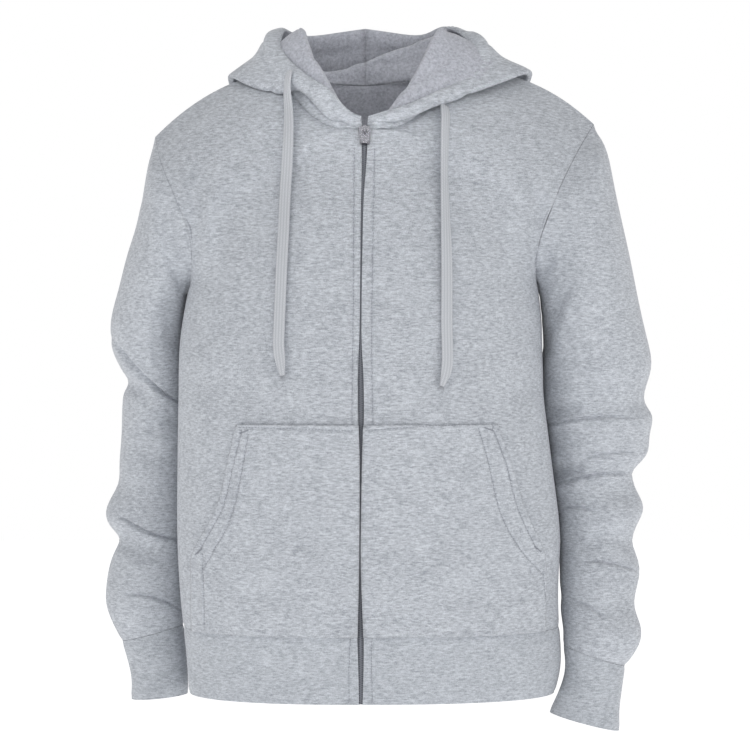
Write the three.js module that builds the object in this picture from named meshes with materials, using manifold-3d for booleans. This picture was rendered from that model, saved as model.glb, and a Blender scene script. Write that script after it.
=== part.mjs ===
// Zip up hoodie in brushed fleece, filled out as if worn, with the hood down and the zip closed.
// Millimetres. X runs to the wearer's left, the front faces -Y and Z is up.
// The origin is the base of the neck, where the wearer's shoulders carry the garment.
import * as THREE from 'three';
import Module from 'manifold-3d';
import { mergeVertices } from 'three/addons/utils/BufferGeometryUtils.js';

// Driving dimensions
const clothWall = 2.6;
const ribWall = 2.8;
const pocketWall = 2.4;
const seamGap = 0.3;
const hemZ = -671.5;
const bandSeamZ = -599;
const pocketTopZ = -377;
const armpitZ = -235;
const neckAxisY = -10;
const shoulderCurve = { right: 2.1, left: 2.5 };
const braidWidth = 12.5;
const braidThickness = 2.8;

// Grid sizes
const hemBandRows = 3;
const pocketRows = 8;
const chestRows = 5;
const pocketColumns = 8;
const sideColumns = 5;
const panelColumns = pocketColumns + sideColumns;
const upperRows = 12;
const frontNeckRow = 5;
const backNeckRow = 7;
const hoodSpans = 2;

// A table is a list of rows with named columns. The first column is its key.
function table(names, rows) {
  const columns = names.split(' ');
  return rows.map((row) => Object.fromEntries(columns.map((name, i) => [name, row[i]])));
}

// Smooth reading of one column, at a key between two rows.
function read(rows, key, at, column) {
  const last = rows.length - 1;
  const rising = rows[last][key] > rows[0][key] ? 1 : -1;
  let i = 0;
  while (i < last - 1 && (at - rows[i + 1][key]) * rising > 0) i += 1;
  const slope = (n) => {
    const before = rows[Math.max(n - 1, 0)];
    const after = rows[Math.min(n + 1, last)];
    return (after[column] - before[column]) / (after[key] - before[key]);
  };
  const span = rows[i + 1][key] - rows[i][key];
  const t = THREE.MathUtils.clamp((at - rows[i][key]) / span, 0, 1);
  const start = rows[i][column] * (2 * t ** 3 - 3 * t ** 2 + 1);
  const end = rows[i + 1][column] * (3 * t ** 2 - 2 * t ** 3);
  const leave = slope(i) * span * (t ** 3 - 2 * t ** 2 + t);
  const arrive = slope(i + 1) * span * (t ** 3 - t ** 2);
  return start + end + leave + arrive;
}

// The trunk by height: half widths at the side seams, and the depths of front and back at the centre.
const trunk = table('z right left front back square', [
  [-672, 193, 208, 112, 104, 2.35],
  [-640, 195, 215, 114, 108, 2.35],
  [-599, 199, 213, 119, 112, 2.35],
  [-560, 203, 212, 123, 115, 2.3],
  [-497, 206, 214, 126, 118, 2.3],
  [-426, 206, 206, 128, 118, 2.3],
  [-352, 205, 197, 130, 116, 2.25],
  [-296, 204, 195, 131, 115, 2.2],
  [-262, 200, 194, 131, 115, 2.2],
  [-235, 195, 191, 130, 115, 2.2],
  [-170, 195, 191, 126, 114, 2.2],
  [-120, 195, 191, 115, 109, 2.2],
  [-63, 195, 191, 98, 98, 2.2],
  [-20, 195, 191, 98, 85, 2.2],
  [4, 195, 191, 98, 76, 2.2],
]);

// The zip line by height: its place across the chest, and half the gap between the two fronts.
const zipLine = table('z x gap', [
  [-672, -4, 1.8],
  [-640, -3.8, 2.4],
  [-600, -4.2, 3.2],
  [-560, -4.5, 2],
  [-515, -4.7, 1],
  [-410, -3.8, 1.6],
  [-370, -3.6, 2.8],
  [-320, -4, 2.6],
  [-285, -4.2, 1.2],
  [-150, -2.6, 1.2],
  [-110, -1, 2],
  [-80, 0.3, 3.4],
  [-62, 0, 3.6],
]);

// Distance from the middle to the slanted hand opening of each pocket, and its straight side below.
const pocketEdge = table('z right left', [
  [-600, 184, 192],
  [-540, 184, 192],
  [-513, 182, 190],
  [-498, 173, 183],
  [-465, 155, 168],
  [-416, 143, 153],
  [-377, 134, 139],
  [-300, 125, 128],
  [-235, 115, 118],
]);

// The neck seam, by its angle round the neck from the front to the back.
const neckSeam = table('angle radius right left', [
  [2.2, 88, -63, -63],
  [22, 87, -62, -62],
  [40, 87, -48, -48],
  [57, 88, -29, -29],
  [75, 87, -9, -6],
  [97, 86, 8, 14],
  [120, 88, 9, 13],
  [150, 88, 5, 7],
  [180, 86, 3, 3],
]);
const frontNeckAngles = [2.2, 12, 24, 38, 53, 68, 83, 97];
const backNeckAngles = [180, 164, 147, 130, 113, 97];

// The armhole seam, from the armpit at step 0 to the shoulder tip at step 1.
const armhole = table('step right rightZ left leftZ depth', [
  [0, 195, -235, 191, -235, 0],
  [0.17, 189, -214, 186, -212, 36],
  [0.33, 187, -188, 188, -182, 58],
  [0.5, 194, -158, 199, -150, 64],
  [0.67, 208, -124, 213, -116, 56],
  [0.83, 222, -92, 232, -80, 35],
  [1, 231, -62, 252, -48, 0],
]);

// How far a row of the chest turns on its way to the armhole, in degrees.
const chestTurn = table('step turn', [
  [0, 90],
  [0.17, 76],
  [0.33, 62],
  [0.67, 48],
  [1, 40],
]);

// Sleeve sections from the shoulder to the cuff seam. Each has the outline's outer and inner point,
// the middle of its depth, and half its depth. Sections that are narrower than the next are folds.
const sleeveSections = {
  right: table('outerX outerZ innerX innerZ middleY depth', [
    [237, -86, 197.3, -239, 8, 66],
    [244, -121, 198.8, -249, 15, 69],
    [252, -156, 200.3, -262, 24, 71],
    [264.5, -191, 200.8, -276, 33, 72],
    [274.5, -227, 200.5, -292, 42, 70],
    [283.5, -257, 200, -309, 49, 67],
    [285, -284, 198, -327, 54, 63],
    [278, -308, 197, -346, 58, 60],
    [267, -328, 196, -368, 61, 55],
    [273, -352, 196, -390, 63, 57],
    [274, -388, 196, -414, 64, 55],
    [277, -422, 196, -440, 64, 53],
    [278, -447, 196, -460, 64, 51],
    [291, -472, 196, -482, 63, 52],
    [288, -493, 197, -500, 61, 50],
    [276, -508, 198, -518, 59, 45],
    [285, -530, 198, -536, 56, 48],
    [290, -560, 199, -560, 52, 48],
    [288.5, -587, 201, -582, 47, 44],
    [272, -621, 203, -603, 42, 31],
  ]),
  left: table('outerX outerZ innerX innerZ middleY depth', [
    [263, -72, 193, -239, 0, 66],
    [272.5, -110, 194.2, -249, 2, 70],
    [282, -153, 195.4, -262, 5, 73],
    [292.5, -198, 195.7, -277, 9, 75],
    [302, -244, 195.9, -296, 13, 74],
    [312, -286, 196, -318, 17, 71],
    [317, -318, 196.4, -342, 20, 67],
    [308, -350, 198.6, -371, 22, 59],
    [319, -369, 201.2, -392, 24, 61],
    [315, -391, 203.4, -409, 25, 60],
    [312.5, -414, 206, -428, 25, 57],
    [295, -434, 208.6, -447, 24, 49],
    [305.5, -461, 211.6, -469, 21, 51],
    [306, -480, 214, -488, 18, 50],
    [294.5, -507, 215.2, -513, 14, 44],
    [304, -537, 214.9, -540, 9, 47],
    [295.5, -573, 215.5, -566, 3, 43],
    [302.5, -598, 216, -589, -3, 45],
    [300, -620, 217.5, -604, -8, 42],
    [285, -642, 217, -620, -11, 33],
  ]),
};

// Cuff sections below the cuff seam, the last one at the cuff's open end.
const cuffSections = {
  right: table('outerX outerZ innerX innerZ middleY depth', [
    [265, -643, 200, -630, 38, 28],
    [260.5, -664, 198, -655, 36, 27.5],
    [261, -685, 197, -679, 34, 28],
  ]),
  left: table('outerX outerZ innerX innerZ middleY depth', [
    [281, -668, 219, -645, -14, 30],
    [278, -690, 212, -669, -17, 29.5],
    [278, -712, 201, -692, -19, 30],
  ]),
};

// Hood sections round the neck. The cloth rises from the neck seam to a ridge, turns over outwards,
// drops to a fold and rises again to the hood's edge. Each has its radius and height there, then how far
// the middle layer bows, the outer layer bulges and the edge's channel stands out.
const hoodSections = {
  right: table('angle ridgeR ridgeZ foldR foldZ edgeR edgeZ bow bulge lip', [
    [2.2, 88, -56, 89, -55, 90, -51, 0, 0, 0],
    [12, 84, -51, 90, -57, 92, -43, 0, 0, 0],
    [24, 79, -30, 88, -52, 92, -22, 0, 1, 0],
    [38, 76, -3, 89, -31, 90, -9, 0, 2, 0],
    [53, 73, 21, 92, -17, 89, 5, 0, 3, 1],
    [68, 71, 41, 104, -20, 90, 19, 0, 4, 2],
    [83, 70, 54, 129, -9, 92, 35, 0, 2, 5],
    [97, 73, 55, 146, 2, 92, 49, 0, 0, 9],
    [113, 79, 44, 157, -13, 97, 61, 5, 2, 7],
    [130, 86, 28, 165, -80, 108, 62, 11, 6, 5],
    [147, 94, 17, 168, -135, 118, 62, 8, 12, 3],
    [164, 90, 20, 164, -163, 119, 68, 3, 14, 2],
    [180, 87, 30, 162, -173, 118, 73, 2, 14, 2],
  ]),
  left: table('angle ridgeR ridgeZ foldR foldZ edgeR edgeZ bow bulge lip', [
    [2.2, 88, -56, 89, -55, 90, -51, 0, 0, 0],
    [12, 86, -52, 91, -59, 93, -46, 0, 0, 0],
    [24, 83, -37, 93, -53, 95, -40, 0, 1, 0],
    [38, 81, -11, 98, -43, 95, -31, 0, 2, 0],
    [53, 80, 14, 102, -33, 96, -21, 0, 3, 1],
    [68, 80, 38, 124, -22, 104, -7, 0, 4, 2],
    [83, 83, 54, 163, -2, 119, 27, 0, 2, 5],
    [97, 86, 57, 181, 4, 111, 48, 0, -1, 8],
    [113, 93, 57, 182, -24, 105, 63, 3, 2, 7],
    [130, 104, 55, 177, -88, 107, 67, 8, 6, 5],
    [147, 101, 50, 172, -140, 118, 63, 6, 12, 3],
    [164, 90, 41, 165, -165, 119, 68, 3, 14, 2],
    [180, 87, 30, 162, -173, 118, 73, 2, 14, 2],
  ]),
};
const ridgeRoll = 2.4;
const ridgeDrop = 3.6;
const foldRoll = 5;
const bulgeShare = 0.45;
const lipShare = 0.83;
const hoodFoldStart = 2.2;
const hoodFoldFull = 26;

const sides = {
  right: -1,
  left: 1,
};

// One point of the cloth between an inner end and an outer end, bowed out as it turns.
function bowedPoint(inner, outer, turn, square, drop, t) {
  const power = 2 / square;
  const across = Math.sin(t * turn) ** power / Math.sin(turn) ** power;
  const rest = Math.max(Math.cos(turn), 0) ** power;
  const deep = (Math.max(Math.cos(t * turn), 0) ** power - rest) / (1 - rest);
  return new THREE.Vector3(
    THREE.MathUtils.lerp(inner.x, outer.x, across),
    THREE.MathUtils.lerp(outer.y, inner.y, deep),
    THREE.MathUtils.lerp(inner.z, outer.z, across ** drop),
  );
}

function neckPoint(side, angle) {
  const radius = read(neckSeam, 'angle', angle, 'radius');
  const turn = THREE.MathUtils.degToRad(angle);
  const x = sides[side] * radius * Math.sin(turn);
  const y = neckAxisY - radius * Math.cos(turn);
  const z = angle >= 180 ? neckSeam.at(-1).left : read(neckSeam, 'angle', angle, side);
  return new THREE.Vector3(angle >= 180 ? 0 : x, y, z);
}

function zipPoint(side, z) {
  const gap = read(zipLine, 'z', z, 'gap');
  const x = read(zipLine, 'z', z, 'x') + sides[side] * gap;
  return new THREE.Vector3(x, -read(trunk, 'z', z, 'front'), z);
}

function sidePoint(side, z) {
  return new THREE.Vector3(sides[side] * read(trunk, 'z', z, side), 0, z);
}

function armholePoint(side, step, face) {
  return new THREE.Vector3(
    sides[side] * read(armhole, 'step', step, side),
    face * read(armhole, 'step', step, 'depth'),
    read(armhole, 'step', step, `${side}Z`),
  );
}

// Angles of a front's columns: the first run ends on the pocket's hand opening. Above the pocket that
// line goes on, at most this share of the way across.
const openingShareLimit = 0.93;
function frontColumnTurns(side, inner, outer, z, turn, square) {
  const reach = Math.abs(outer.x - inner.x);
  const across = Math.abs(sides[side] * read(pocketEdge, 'z', z, side) - inner.x) / reach;
  const limit = Math.sin(turn) ** (2 / square);
  const pocketTurn = Math.asin((Math.min(across, openingShareLimit) * limit) ** (square / 2));
  const turns = [];
  for (let i = 0; i <= pocketColumns; i += 1) {
    turns.push((pocketTurn * i) / pocketColumns);
  }
  for (let i = 1; i <= sideColumns; i += 1) {
    turns.push(THREE.MathUtils.lerp(pocketTurn, turn, i / sideColumns));
  }
  return turns.map((angle) => angle / turn);
}

// Even steps from one value to another.
function steps(from, to, count) {
  return Array.from({ length: count + 1 }, (_, i) => THREE.MathUtils.lerp(from, to, i / count));
}

function frontRow(side, inner, outer, z, turn, square, drop) {
  const turns = frontColumnTurns(side, inner, outer, z, turn, square);
  return turns.map((t) => bowedPoint(inner, outer, turn, square, drop, t));
}

function frontLevel(side, z) {
  const square = read(trunk, 'z', z, 'square');
  return frontRow(side, zipPoint(side, z), sidePoint(side, z), z, Math.PI / 2, square, 1);
}

function backLevel(side, z) {
  const square = read(trunk, 'z', z, 'square');
  const centre = new THREE.Vector3(0, read(trunk, 'z', z, 'back'), z);
  return steps(0, 1, panelColumns).map((t) => (
    bowedPoint(centre, sidePoint(side, z), Math.PI / 2, square, 1, t)
  ));
}

// Rows above the armpit end on the armhole. Their inner ends climb the centre and then the neck seam.
// Front and back share the top row, the shoulder line, and it is stepped as the front is.
function upperRow(side, k, face) {
  const step = k / upperRows;
  const turn = THREE.MathUtils.degToRad(read(chestTurn, 'step', step, 'turn'));
  const outer = armholePoint(side, step, face);
  const drop = THREE.MathUtils.lerp(1, shoulderCurve[side], step ** 2);
  const square = trunk.at(-1).square;
  const asFront = face < 0 || k === upperRows;
  const angles = asFront ? frontNeckAngles : backNeckAngles;
  const neckRow = asFront ? frontNeckRow : backNeckRow;
  const neckZ = neckPoint(side, angles[0]).z;
  const z = THREE.MathUtils.lerp(armpitZ, neckZ, k / neckRow);
  const backMiddle = new THREE.Vector3(0, read(trunk, 'z', z, 'back'), z);
  const middle = asFront ? zipPoint(side, z) : backMiddle;
  const inner = k < neckRow ? middle : neckPoint(side, angles[k - neckRow]);
  if (asFront) return frontRow(side, inner, outer, armpitZ, turn, square, drop);
  return steps(0, 1, panelColumns).map((t) => bowedPoint(inner, outer, turn, square, drop, t));
}

const bandLevels = steps(hemZ, bandSeamZ, hemBandRows);
const pocketLevels = steps(bandSeamZ, pocketTopZ, pocketRows);
const chestLevels = steps(pocketTopZ, armpitZ, chestRows).slice(1);
const trunkLevels = [...pocketLevels, ...chestLevels];
const upperSteps = steps(1, upperRows, upperRows - 1);

function frontPanel(side) {
  return [
    ...trunkLevels.map((z) => frontLevel(side, z)),
    ...upperSteps.map((k) => upperRow(side, k, -1)),
  ];
}

function backHalf(side) {
  return [
    ...trunkLevels.map((z) => backLevel(side, z)),
    ...upperSteps.map((k) => upperRow(side, k, 1)),
  ];
}

// The band goes from the zip round one side, across the back and round to the zip again.
function hemBandPanel() {
  return bandLevels.map((z) => [
    ...frontLevel('right', z),
    ...backLevel('right', z).reverse().slice(1),
    ...backLevel('left', z).slice(1),
    ...frontLevel('left', z).reverse().slice(1),
  ]);
}

// The armhole's loop of points: up the front from the armpit, over the shoulder and down the back.
function armholeLoop(side) {
  const front = [frontLevel(side, armpitZ), ...upperSteps.map((k) => upperRow(side, k, -1))];
  const back = upperSteps.slice(0, -1).map((k) => upperRow(side, k, 1));
  return [...front.map((row) => row.at(-1)), ...back.map((row) => row.at(-1)).reverse()];
}

function limbRing(side, section) {
  const count = 2 * upperRows;
  const middleX = (section.outerX + section.innerX) / 2;
  const middleZ = (section.outerZ + section.innerZ) / 2;
  const halfX = (section.outerX - section.innerX) / 2;
  const halfZ = (section.outerZ - section.innerZ) / 2;
  return Array.from({ length: count }, (_, i) => {
    const angle = (2 * Math.PI * i) / count;
    return new THREE.Vector3(
      sides[side] * (middleX - halfX * Math.cos(angle)),
      section.middleY - section.depth * Math.sin(angle),
      middleZ - halfZ * Math.cos(angle),
    );
  });
}

function sleevePanel(side) {
  const rings = sleeveSections[side].map((section) => limbRing(side, section));
  return [armholeLoop(side), ...rings].map((ring) => [...ring, ring[0]]);
}

function cuffPanel(side) {
  const sections = [sleeveSections[side].at(-1), ...cuffSections[side]];
  return sections.map((section) => limbRing(side, section)).map((ring) => [...ring, ring[0]]);
}

// One section of the hood in its own plane round the neck, from the neck seam to the hood's edge.
function hoodSection(side, angle) {
  const neck = neckPoint(side, angle);
  const at = (column) => read(hoodSections[side], 'angle', angle, column);
  const start = new THREE.Vector2(Math.hypot(neck.x, neck.y - neckAxisY), neck.z);
  const ridge = new THREE.Vector2(at('ridgeR'), at('ridgeZ') - clothWall);
  const fold = new THREE.Vector2(at('foldR'), at('foldZ'));
  const edge = new THREE.Vector2(at('edgeR'), at('edgeZ'));
  const shifted = (point, r, z) => new THREE.Vector2(point.x + r, point.y + z);
  const ridgeIn = shifted(ridge, -ridgeRoll, -ridgeDrop);
  const ridgeOut = shifted(ridge, ridgeRoll, -ridgeDrop);
  const foldIn = shifted(fold, -foldRoll, foldRoll);
  const foldOut = shifted(fold, foldRoll, foldRoll);
  const bowed = (from, to, share, amount) => {
    const outward = new THREE.Vector2(from.y - to.y, to.x - from.x).normalize();
    return from.clone().lerp(to, share).addScaledVector(outward, amount);
  };
  const folded = [
    start,
    bowed(start, ridgeIn, 0.5, 0),
    ridgeIn,
    ridge,
    ridgeOut,
    bowed(ridgeOut, foldIn, 0.5, at('bow')),
    foldIn,
    fold,
    foldOut,
    bowed(foldOut, edge, bulgeShare, -at('bulge')),
    bowed(foldOut, edge, lipShare, -at('lip')),
    edge,
  ];
  const open = THREE.MathUtils.smoothstep(angle, hoodFoldStart, hoodFoldFull);
  return folded.map((point, i) => {
    const straight = start.clone().lerp(edge, i / (folded.length - 1));
    const flat = straight.lerp(point, open);
    const turn = THREE.MathUtils.degToRad(angle);
    return new THREE.Vector3(
      angle >= 180 ? 0 : sides[side] * flat.x * Math.sin(turn),
      neckAxisY - flat.x * Math.cos(turn),
      flat.y,
    );
  });
}

function hoodPanel(side) {
  const angles = [...frontNeckAngles, ...backNeckAngles.slice(0, -1).reverse()];
  return angles.map((angle) => {
    const controls = hoodSection(side, angle);
    const curve = new THREE.CatmullRomCurve3(controls, false, 'centripetal');
    const count = (controls.length - 1) * hoodSpans;
    return steps(0, 1, count).map((t) => curve.getPoint(t));
  });
}

const finishes = {
  fleece: new THREE.MeshStandardMaterial({ name: 'fleece', color: '#b4b9c1', roughness: 0.95 }),
  ribbing: new THREE.MeshStandardMaterial({ name: 'ribbing', color: '#aeb3bb', roughness: 0.95 }),
  braid: new THREE.MeshStandardMaterial({ name: 'braid', color: '#bcc0c6', roughness: 0.9 }),
  zipTape: new THREE.MeshStandardMaterial({ name: 'zip_tape', color: '#8f949c', roughness: 0.8 }),
  zipMetal: new THREE.MeshStandardMaterial({
    name: 'zip_metal',
    color: '#c9cbd0',
    roughness: 0.3,
    metalness: 1,
  }),
};

// Every cloth piece by name: the grids of its outer face, which way they face, its wall and finish.
const panel = (name, grids, wall, finish) => ({ name, grids, wall, finish, lift: 0 });
const grid = (rows, facing) => ({ rows, facing });
const clothPieces = [
  panel('front_right', [grid(frontPanel('right'), -1)], clothWall, 'fleece'),
  panel('front_left', [grid(frontPanel('left'), 1)], clothWall, 'fleece'),
  panel('back', [grid(backHalf('right'), 1), grid(backHalf('left'), -1)], clothWall, 'fleece'),
  panel('hem_band', [grid(hemBandPanel(), -1)], ribWall, 'ribbing'),
  panel('sleeve_right', [grid(sleevePanel('right'), 1)], clothWall, 'fleece'),
  panel('sleeve_left', [grid(sleevePanel('left'), -1)], clothWall, 'fleece'),
  panel('cuff_right', [grid(cuffPanel('right'), 1)], ribWall, 'ribbing'),
  panel('cuff_left', [grid(cuffPanel('left'), -1)], ribWall, 'ribbing'),
  panel('hood_right', [grid(hoodPanel('right'), 1)], clothWall, 'fleece'),
  panel('hood_left', [grid(hoodPanel('left'), -1)], clothWall, 'fleece'),
];

const placeKey = (point) => [point.x, point.y, point.z].map((v) => Math.round(v * 100)).join(' ');

// The quads of a grid, each wound so that it faces out of the garment.
function gridQuads({ rows, facing }) {
  const quads = [];
  for (let r = 0; r + 1 < rows.length; r += 1) {
    for (let c = 0; c + 1 < rows[r].length; c += 1) {
      const quad = [rows[r][c], rows[r][c + 1], rows[r + 1][c + 1], rows[r + 1][c]];
      quads.push(facing > 0 ? quad : quad.reverse());
    }
  }
  return quads;
}

// Facing direction of the cloth at each point. Pieces that meet on a seam share it there.
const facings = new Map();
clothPieces.flatMap((piece) => piece.grids).flatMap(gridQuads).forEach((quad) => {
  const across = quad[2].clone().sub(quad[0]);
  const facing = across.cross(quad[3].clone().sub(quad[1])).normalize();
  quad.forEach((point) => {
    const key = placeKey(point);
    facings.set(key, (facings.get(key) ?? new THREE.Vector3()).add(facing));
  });
});
const facingAt = (point) => facings.get(placeKey(point)).clone().normalize();

// A piece's quads as corner numbers, with its points welded.
function weld(grids) {
  const places = new Map();
  const points = [];
  const numberOf = (point) => {
    const key = placeKey(point);
    if (!places.has(key)) {
      places.set(key, points.length);
      points.push(point);
    }
    return places.get(key);
  };
  const quads = grids.flatMap(gridQuads).map((quad) => quad.map(numberOf));
  return { points, quads };
}

// Directed edges that have cloth on one side only.
function borderEdges(quads) {
  const edges = new Map();
  quads.forEach((quad) => quad.forEach((from, i) => {
    const to = quad[(i + 1) % quad.length];
    edges.set(`${from} ${to}`, [from, to]);
  }));
  return [...edges.values()].filter(([from, to]) => !edges.has(`${to} ${from}`));
}

// Moves the border of a piece in by half of the seam gap, square to the seam and in the cloth's face.
function borderShifts(points, border) {
  const inward = new Map();
  border.forEach(([from, to]) => {
    const along = points[to].clone().sub(points[from]);
    [from, to].forEach((corner) => {
      const direction = facingAt(points[corner]).cross(along).normalize();
      inward.set(corner, [...(inward.get(corner) ?? []), direction]);
    });
  });
  const shifts = new Map();
  inward.forEach((directions, corner) => {
    const sum = directions.reduce((total, d) => total.add(d), new THREE.Vector3());
    const reach = Math.max(sum.lengthSq() / directions.length, 0.5);
    shifts.set(corner, sum.multiplyScalar(seamGap / 2 / reach));
  });
  return shifts;
}

// A wall of cloth: the outer face, the inner face behind it, and the edges between them.
function clothWallGeometry({ grids, wall, lift }) {
  const { points, quads } = weld(grids);
  const border = borderEdges(quads);
  const shifts = borderShifts(points, border);
  const count = points.length;
  const positions = [];
  [lift, lift - wall].forEach((offset) => {
    points.forEach((point, i) => {
      const place = point.clone().addScaledVector(facingAt(point), offset);
      if (shifts.has(i)) place.add(shifts.get(i));
      positions.push(place.x, place.y, place.z);
    });
  });
  const index = [];
  quads.forEach(([a, b, c, d]) => {
    index.push(a, b, c, a, c, d);
    index.push(a + count, c + count, b + count, a + count, d + count, c + count);
  });
  border.forEach(([from, to]) => {
    const split = placeKey(points[from]) < placeKey(points[to]);
    if (split) index.push(from, from + count, to + count, from, to + count, to);
    else index.push(from, from + count, to, to, from + count, to + count);
  });
  const geometry = new THREE.BufferGeometry();
  geometry.setAttribute('position', new THREE.Float32BufferAttribute(positions, 3));
  geometry.setIndex(index);
  geometry.computeVertexNormals();
  return geometry;
}

// Each half of the pocket is made from the points of the front that it lies on, moved out.
function pocketPiece(side, facing) {
  const rows = frontPanel(side).slice(0, pocketRows + 1);
  const patch = grid(rows.map((row) => row.slice(0, pocketColumns + 1)), facing);
  return {
    name: `pocket_${side}`,
    grids: [patch],
    wall: pocketWall,
    finish: 'fleece',
    lift: seamGap + pocketWall,
  };
}
const pocketPieces = [pocketPiece('right', -1), pocketPiece('left', 1)];

// Zip tape with its half of the chain, as a section: distance from the zip's middle, depth in the wall.
const tapeDepth = ribWall + seamGap;
const chainHalfWidth = 2.7;
const chainHeight = 2.4;
const tapeWidth = 15;
const tapeThickness = 1.1;
const tapeStep = 0.7;
const tapeSection = [
  [seamGap / 2, tapeDepth],
  [chainHalfWidth, tapeDepth],
  [chainHalfWidth, tapeDepth + tapeStep],
  [tapeWidth, tapeDepth + tapeStep],
  [tapeWidth, tapeDepth + tapeStep + tapeThickness],
  [seamGap / 2, tapeDepth + chainHeight],
];
const zipTopZ = -68.5;

function zipTapeGeometry(side) {
  const bandRows = bandLevels.slice(0, -1).map((z) => frontLevel(side, z));
  const rows = [...bandRows, ...frontPanel(side).slice(0, trunkLevels.length + frontNeckRow)];
  const frames = rows.map((row) => {
    const facing = facingAt(row[0]);
    const across = row[1].clone().sub(row[0]);
    across.addScaledVector(facing, -across.dot(facing)).normalize();
    return { edge: row[0].clone(), facing, across };
  });
  const low = frames.at(-2);
  const top = frames.at(-1);
  const share = (zipTopZ - low.edge.z) / (top.edge.z - low.edge.z);
  const end = {
    edge: low.edge.clone().lerp(top.edge, share),
    facing: low.facing.clone().lerp(top.facing, share).normalize(),
    across: low.across.clone().lerp(top.across, share).normalize(),
  };
  frames[frames.length - 1] = end;
  frames[0].edge.z += seamGap / 2;
  const positions = [];
  frames.forEach(({ edge, facing, across }) => {
    const middle = read(zipLine, 'z', edge.z, 'x');
    const straight = new THREE.Vector3(0, facing.y, facing.z).normalize();
    tapeSection.forEach(([distance, depth]) => {
      const onTape = distance > chainHalfWidth;
      const place = onTape
        ? edge.clone().addScaledVector(across, distance - Math.abs(edge.x - middle))
        : new THREE.Vector3(middle + sides[side] * distance, edge.y, edge.z);
      place.addScaledVector(onTape ? facing : straight, -depth);
      positions.push(place.x, place.y, place.z);
    });
  });
  const corners = tapeSection.length;
  const index = [];
  for (let r = 0; r + 1 < frames.length; r += 1) {
    for (let c = 0; c < corners; c += 1) {
      const next = (c + 1) % corners;
      const [a, b] = [r * corners + c, r * corners + next];
      index.push(a, b, b + corners, a, b + corners, a + corners);
    }
  }
  const outline = tapeSection.map(([x, y]) => new THREE.Vector2(x, y));
  const caps = THREE.ShapeUtils.triangulateShape(outline, []);
  const topStart = (frames.length - 1) * corners;
  caps.forEach(([a, b, c]) => {
    index.push(a, c, b);
    index.push(a + topStart, b + topStart, c + topStart);
  });
  const geometry = new THREE.BufferGeometry();
  geometry.setAttribute('position', new THREE.Float32BufferAttribute(positions, 3));
  geometry.setIndex(facesOutward(geometry, index));
  geometry.computeVertexNormals();
  return geometry;
}

// Turns all triangles over when the closed shape that they make is inside out.
function facesOutward(geometry, index) {
  const at = (i) => new THREE.Vector3().fromBufferAttribute(geometry.getAttribute('position'), i);
  let volume = 0;
  for (let i = 0; i < index.length; i += 3) {
    volume += at(index[i]).dot(at(index[i + 1]).cross(at(index[i + 2])));
  }
  if (volume > 0) return index;
  const turned = [];
  for (let i = 0; i < index.length; i += 3) turned.push(index[i], index[i + 2], index[i + 1]);
  return turned;
}

// Zip slider in its own frame: its middle on the face of the fronts, Z up the zip, -Y outward.
const sliderZ = -72.5;
const sliderLength = 20;
const sliderTopWidth = 13.2;
const sliderFootWidth = 10.5;
const sliderPlate = 1.6;
const plateRound = 2.5;
const plateRoundSteps = 3;
const fused = 0.2;
const sliderClear = 1;
const sliderBack = 6.3;
const postWidth = 3.2;
const postLength = 2.4;
const postInset = 0.1;
const crownWidth = 2.6;
const crownHeight = 5.3;
const crownWall = 1.2;
const crownTop = 9.8;
const crownEye = 3.8;
const eyeTop = crownTop - crownWall;
const pullHalfWidth = 5;
const pullHalfLength = 8.6;
const pullHoleHalfWidth = 3.2;
const pullHoleHalfLength = 6.6;
const pullThickness = 1.6;
const pullRoundness = 3;
const pullCorners = 28;
const pullHoleCorners = 20;

const wasm = await Module();
wasm.setup();

function toManifold(source) {
  const bare = source.clone();
  bare.deleteAttribute('normal');
  bare.deleteAttribute('uv');
  const merged = mergeVertices(bare, 1e-4);
  const mesh = new wasm.Mesh({
    numProp: 3,
    vertProperties: new Float32Array(merged.getAttribute('position').array),
    triVerts: new Uint32Array(merged.getIndex().array),
  });
  return new wasm.Manifold(mesh);
}

function fromManifold(solid) {
  const mesh = solid.getMesh();
  const geometry = new THREE.BufferGeometry();
  geometry.setAttribute('position', new THREE.Float32BufferAttribute(mesh.vertProperties, 3));
  geometry.setIndex([...mesh.triVerts]);
  geometry.computeVertexNormals();
  return geometry;
}

function block(x0, x1, y0, y1, z0, z1) {
  const geometry = new THREE.BoxGeometry(x1 - x0, y1 - y0, z1 - z0);
  return toManifold(geometry.translate((x0 + x1) / 2, (y0 + y1) / 2, (z0 + z1) / 2));
}

// A plate that lies in the zip's plane, with rounded corners, from one depth to another.
function taperedPlate(topWidth, footWidth, length, front, thickness) {
  const [top, foot, half, round] = [topWidth / 2, footWidth / 2, length / 2, plateRound];
  const shape = new THREE.Shape();
  shape.moveTo(-foot + round, -half);
  shape.lineTo(foot - round, -half);
  shape.quadraticCurveTo(foot, -half, foot, -half + round);
  shape.lineTo(top, half - round);
  shape.quadraticCurveTo(top, half, top - round, half);
  shape.lineTo(-top + round, half);
  shape.quadraticCurveTo(-top, half, -top, half - round);
  shape.lineTo(-foot, -half + round);
  shape.quadraticCurveTo(-foot, -half, -foot + round, -half);
  const settings = { depth: thickness, bevelEnabled: false, curveSegments: plateRoundSteps };
  const geometry = new THREE.ExtrudeGeometry(shape, settings).rotateX(Math.PI / 2);
  return toManifold(geometry.translate(0, front + thickness, 0));
}

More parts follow.
